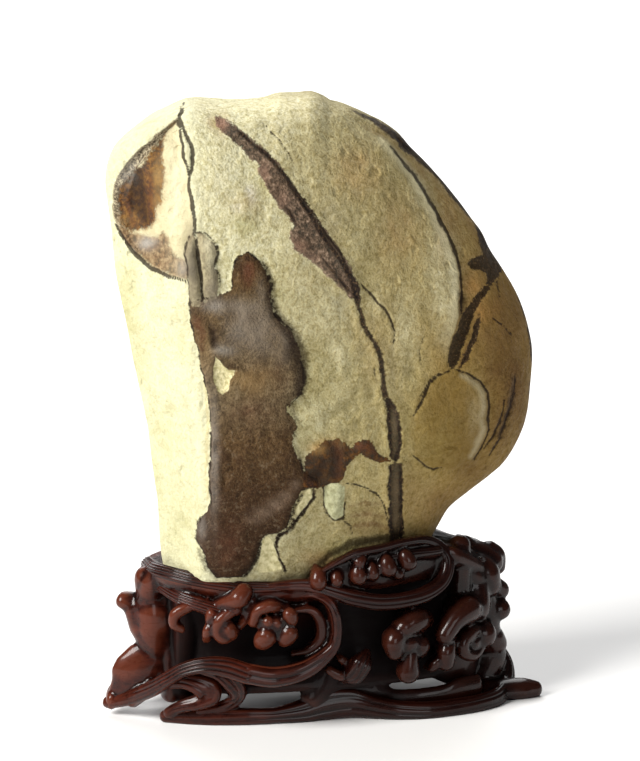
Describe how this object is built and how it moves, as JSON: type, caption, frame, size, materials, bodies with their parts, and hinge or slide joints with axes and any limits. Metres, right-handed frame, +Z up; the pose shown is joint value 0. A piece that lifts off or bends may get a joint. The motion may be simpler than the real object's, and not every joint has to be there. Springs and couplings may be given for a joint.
{
  "type": "scholars rock on stand",
  "caption": "Upright slab-like scholar's rock with brown inclusions and veins, resting in a socket of a dark hardwood stand carved with waves, knobs and ribbons.",
  "frame": {"origin": "middle of the stand's footprint, on the surface it stands on", "axes": "+Z up, +X to the right along the stand's long axis as seen from the front, front faces -Y"},
  "size_m": [0.2199, 0.1054, 0.3026],
  "materials": {
    "stone": "matt, fine-grained buff stone with brown inclusions",
    "stand": "dark red-brown hardwood, carved and polished"
  },
  "bodies": {
    "root": {"stone": "stone", "stand": "stand"}
  },
  "joints": []
}
